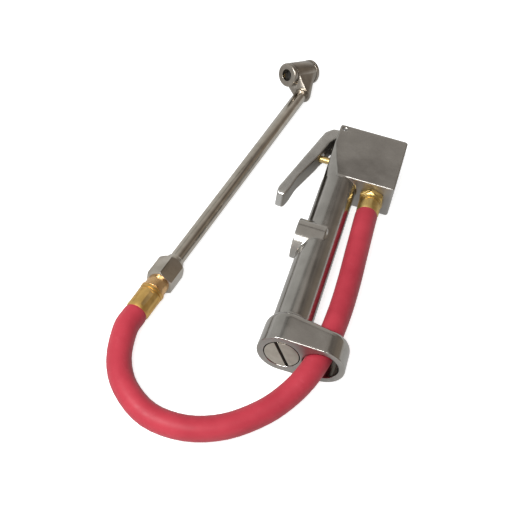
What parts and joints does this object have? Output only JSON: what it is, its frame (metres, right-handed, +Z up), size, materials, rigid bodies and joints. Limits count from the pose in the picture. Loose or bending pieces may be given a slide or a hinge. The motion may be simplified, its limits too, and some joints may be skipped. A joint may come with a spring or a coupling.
{
  "type": "portable tire inflator",
  "caption": "Hand-held tire inflator with a squeeze lever, a sliding-bar pressure gauge under a round window, a whip hose and a straight wand with a two-mouth chuck.",
  "frame": {"origin": "centre of the threaded air inlet's mouth on the end face of the head", "axes": "+Y out of the air inlet, along the handle; +X from the handle's axis towards the hose; +Z up from the surface that the tool lies on"},
  "size_m": [0.1442, 0.3541, 0.032],
  "materials": {
    "casting": "satin",
    "lever": "satin",
    "nickel": "polished",
    "brass": "satin",
    "copper_brass": "satin",
    "steel": "polished",
    "spring_steel": "satin",
    "seals": "matte",
    "hose_rubber": "satin",
    "gauge_white": "matte",
    "lens": "clear"
  },
  "bodies": {
    "handle": {"housing": "casting", "inlet_screen": "brass", "lever_pin": "steel", "stem_gland": "brass", "stem_seal": "seals", "valve_spring": "spring_steel", "valve_cap": "nickel", "gauge_spring": "spring_steel", "gauge_lens": "lens", "lens_gasket": "seals", "lens_ring": "nickel", "end_plug": "nickel", "plug_seal": "seals", "hose_nipple": "brass", "head_ferrule": "brass", "hose": "hose_rubber", "wand_ferrule": "brass", "hose_coupling": "copper_brass", "wand_nut": "nickel", "wand_tube": "nickel", "chuck_body": "nickel", "front_chuck_ring": "nickel", "rear_chuck_ring": "nickel", "chuck_seals": "seals", "chuck_pins": "brass"},
    "lever": {"lever": "lever"},
    "plunger": {"valve_stem": "brass", "valve_seal": "seals"},
    "gauge": {"gauge_piston": "nickel", "piston_cup": "seals", "gauge_bar": "gauge_white"}
  },
  "joints": [
    {"name": "lever_squeeze", "type": "hinge", "parent": "handle", "child": "lever", "pos_m": [-0.0327, -0.0042, 0], "axis": [0, 0, 1], "range_deg": [0, 9], "stiffness_Nm_per_rad": 2, "springref_deg": -4.98},
    {"name": "plunger_slide", "type": "slide", "parent": "handle", "child": "plunger", "axis": [1, 0, 0], "range_m": [0, 0.0036], "deforming": ["valve_spring"]},
    {"name": "gauge_slide", "type": "slide", "parent": "handle", "child": "gauge", "axis": [0, -1, 0], "range_m": [0, 0.036], "stiffness_N_per_m": 1500, "springref_m": -0.003, "deforming": ["gauge_spring"]}
  ],
  "couplings": [
    {"joint": "plunger_slide", "follows": "lever_squeeze", "m_per_rad": 0.0228}
  ]
}
